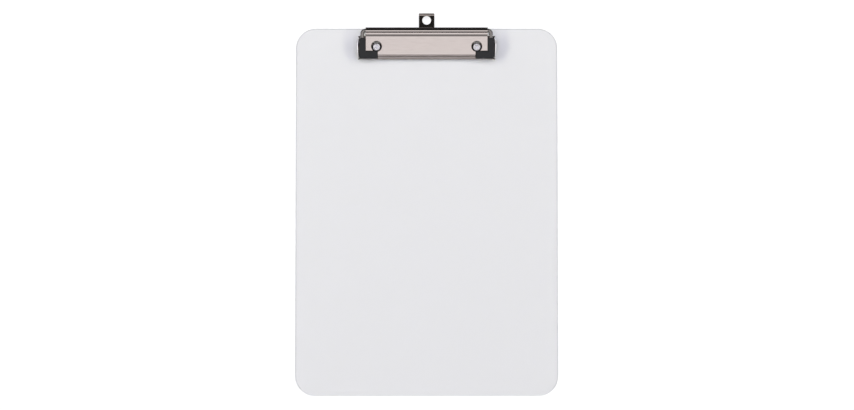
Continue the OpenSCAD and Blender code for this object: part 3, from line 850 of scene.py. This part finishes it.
def moulded(loop, top, bottom, edge_r, cuts):
    """A moulded block: the loop in plan between a top and a bottom that are heights by y,
    with edges rounded as quarter circles. It is cut across wherever a height bends."""
    shrunk = offset(loop, -edge_r)
    wide = 2 * abs(loop).max()
    flat, faces = fill([shrunk], [[(-wide, y), (wide, y)] for y in cuts])
    ids, mitre, unit, quads = edge_of(flat, faces)
    parts = []
    for way, height in ((1, top), (-1, bottom)):
        points = np.column_stack([flat, height(flat[:, 1])])
        parts.append((points, faces[:, ::way], way * upright(flat[:, 1], height)))
    points, normals = [], []
    for step, tilt in enumerate(RIM_TILTS):
        way, height = (1, top) if step < len(RIM_TILTS) / 2 else (-1, bottom)
        at = flat[ids] + mitre * edge_r * math.sin(tilt)
        z = height(at[:, 1]) - way * edge_r * (1 - abs(math.cos(tilt)))
        points.append(np.column_stack([at, z]))
        sideways = np.column_stack([unit * math.sin(tilt), np.zeros(len(ids))])
        normals.append(sideways + abs(math.cos(tilt)) * way * upright(at[:, 1], height))
    parts.append((np.concatenate(points), quads, np.concatenate(normals)))
    return parts


arm_y, arm_z = grip_lo[1] + GRIP_ARM_W / 2, grip_lo[2] + GRIP_ARM_OVER_SOLE
fall = math.atan2(roll_z - arm_z, roll_y - arm_y)


def bow_plane(y):
    """Height of the plane that the bow's wire lies in."""
    return arm_z + (y - arm_y) * math.tan(fall)


def grip_top(y):
    """Height of the grips' upper face, square above the bow's plane."""
    return bow_plane(y) + GRIP_HALF_H / math.cos(fall)


def grip_sole(y):
    """Height of the grips' underside: the level sole, the slope behind it, and the groove
    over the hinge rod, a circle round the rod."""
    groove = rod_z + np.sqrt(np.maximum(ROD_GROOVE_R**2 - (y - rod_y) ** 2, 0))
    under = np.maximum(grip_lo[2], bow_plane(y) - GRIP_HALF_H / math.cos(fall))
    return np.where(abs(y - rod_y) < ROD_GROOVE_R, np.maximum(groove, under), under)


corner = np.array([grip_hi[0] - GRIP_CORNER_R, grip_lo[1] + GRIP_CORNER_R])
inner_x = grip_hi[0] - GRIP_SIDE_W
grip_loop = np.concatenate([
    [(grip_lo[0], grip_lo[1])], arc(corner, GRIP_CORNER_R, -90, 0, steps=8),
    [(grip_hi[0], grip_hi[1]), (inner_x, grip_hi[1]), (inner_x, grip_lo[1] + GRIP_ARM_W)],
    [(grip_lo[0], grip_lo[1] + GRIP_ARM_W)],
])
sole_end = arm_y + (grip_lo[2] + GRIP_HALF_H / math.cos(fall) - arm_z) / math.tan(fall)
groove_cuts = arc([rod_y, rod_z], ROD_GROOVE_R, 0, 180, steps=8)[:, 0]
grip_cuts = [sole_end] + groove_cuts.tolist()
grip = moulded(grip_loop, grip_top, grip_sole, GRIP_EDGE_R, grip_cuts)
rubber, tree, shader = material("satin_black_rubber", Base_Color=paint("#161617"))
worn(tree, shader, roughness=0.45, spread=0.12, size=1.1, bump=0.05)
for name, parts in (("grip_right", grip), ("grip_left", mirrored(grip))):
    piece("rubber_" + name, parts, "jaw", "black_rubber", rubber, name)

# --- Studio ------------------------------------------------------------------------
# A white table, with wide soft light from a little behind the clip and from both sides. The
# sloping lever mirrors a bright wall in front, and what lies behind and low down is dark.
# The camera looks down, nearly five degrees off the vertical.

CAMERA_AT = (0.3, -235.9, 3000.0)
AIM_Y = 5.5
LENS = 147.8
TABLE_HALF = 15.0
TABLE_DROP = 0.1
TABLE_COLOUR = "#F4F4F4"
TABLE_SEEN = "#838383"
TABLE_MIRRORED = "#404040"
TABLE_GLOW = 0.78

camera = bpy.data.objects.new("camera", bpy.data.cameras.new("camera"))
camera.data.sensor_width = 36
camera.data.lens = LENS
camera.data.clip_end = 100
camera.location = np.array([CAMERA_AT[0], CAMERA_AT[1], board_hi[2] + CAMERA_AT[2]]) * MM
camera.rotation_euler = (math.atan2(AIM_Y - CAMERA_AT[1], CAMERA_AT[2]), 0, 0)
bpy.context.scene.collection.objects.link(camera)
bpy.context.scene.camera = camera
bpy.context.scene.view_settings.view_transform = "Standard"

# Where the camera sees the table, it glows white and takes only soft shadows. Metal mirrors
# it dim, and it throws its full white back at everything else.
white, tree, shader = material("white_table", Roughness=0.9, Emission_Color=(1, 1, 1, 1))
path = add(tree, "ShaderNodeLightPath").outputs
seen = path["Is Camera Ray"]
opaque = formula(tree, "SUBTRACT", 1.0, path["Is Transmission Ray"])
mirrored_in = formula(tree, "MULTIPLY", path["Is Glossy Ray"], opaque)
dim = mix(tree, seen, paint(TABLE_MIRRORED), paint(TABLE_SEEN))
shown = formula(tree, "MAXIMUM", seen, mirrored_in)
tree.links.new(mix(tree, shown, paint(TABLE_COLOUR), dim), shader.inputs["Base Color"])
tree.links.new(formula(tree, "MULTIPLY", seen, TABLE_GLOW), shader.inputs["Emission Strength"])
mesh = bpy.data.meshes.new("table")
ways = np.array([(-1, -1), (1, -1), (1, 1), (-1, 1)])
corners = np.column_stack([ways * TABLE_HALF, np.full(len(ways), -TABLE_DROP * MM)])
mesh.from_pydata(corners.tolist(), [], [(0, 1, 2, 3)])
mesh.materials.append(white)
floor = bpy.data.objects.new("table", mesh)
bpy.context.scene.collection.objects.link(floor)


def lamp(name, at, size, radiance, tint):
    """An oblong soft lamp turned to the clip, which no metal mirrors, with a power that
    gives its face this radiance: power = pi * area * radiance."""
    data = bpy.data.lights.new(name, "AREA")
    data.shape, data.size, data.size_y = "RECTANGLE", size[0], size[1]
    data.energy = math.pi * size[0] * size[1] * radiance
    data.color = tint
    made = bpy.data.objects.new(name, data)
    made.location = at
    made.rotation_euler = (0, math.atan2(at[0], at[2]), 0)
    bpy.context.scene.collection.objects.link(made)
    made.visible_glossy = False
    made.visible_transmission = False
    made.visible_camera = False


lamp("wide_light", (0, 0.5, 2.1), size=(2.0, 1.8), radiance=3.4, tint=(1.0, 1.0, 1.28))
for name, x in (("left_lamp", -1.6), ("right_lamp", 1.6)):
    lamp(name, (x, 0.55, 1.6), size=(0.5, 1.8), radiance=7.9, tint=(1.0, 1.0, 0.78))

# The studio by direction: its brightness at each angle from overhead, in degrees towards the
# clip's rear, chosen so that the rolled edge, the lever and the lip mirror their tones in the
# photo. To either side the bright wall ends.
DOME = (
    (-180, 0.04), (-70, 0.04), (-60, 0.26), (-38, 0.26),
    (-35, 1.0), (-3.5, 1.0), (-2.7, 0.015), (90, 0.015),
)
WALL_ENDS = (0.15, 0.35)
SIDE_TONE = 0.05
MIRRORED_SIDE_TONE = 0.65
MIRRORED_FROM = 0.2

world = bpy.data.worlds.new("studio")
world.use_nodes = True
bpy.context.scene.world = world
tree = world.node_tree
axes = split(tree, coordinates(tree, "Generated"))
turn = formula(tree, "ARCTAN2", axes["Y"], axes["Z"])
ramp = add(tree, "ShaderNodeValToRGB", {"Fac": mapped(tree, turn, -math.pi, math.pi)})
stops = ramp.color_ramp.elements
while len(stops) < len(DOME):
    stops.new(1.0)
for stop, (degrees, level_there) in zip(stops, DOME):
    stop.position = (degrees + 180) / 360
    stop.color = (level_there, level_there, level_there, 1)
sideways = mapped(tree, formula(tree, "ABSOLUTE", axes["X"]), *WALL_ENDS)
# Above the horizon the sides are brighter for what is mirrored, so that the metal shines
# when the part is seen from beside it.
path = add(tree, "ShaderNodeLightPath").outputs
high = formula(tree, "GREATER_THAN", axes["Z"], MIRRORED_FROM)
high_mirrored = formula(tree, "MULTIPLY", high, path["Is Glossy Ray"])
side = formula(tree, "MULTIPLY_ADD", high_mirrored, MIRRORED_SIDE_TONE - SIDE_TONE, SIDE_TONE)
dome = mix(tree, sideways, ramp.outputs["Color"], side)
# The clear board casts no shadow, so light that reaches a matt face straight through it is
# counted already, and a path that bends through it from such a face brings nothing more.
# What the camera sees of the studio, also through the board, is white.
through = path["Is Transmission Ray"]
after_matt = formula(tree, "MINIMUM", path["Diffuse Depth"], 1.0)
again = formula(tree, "MULTIPLY", after_matt, through)
clear = formula(tree, "SUBTRACT", through, again)
backdrop = formula(tree, "MAXIMUM", clear, path["Is Camera Ray"])
background = tree.nodes["Background"]
tree.links.new(mix(tree, backdrop, dome, (1, 1, 1, 1)), background.inputs["Color"])
tree.links.new(formula(tree, "SUBTRACT", 1.0, again), background.inputs["Strength"])
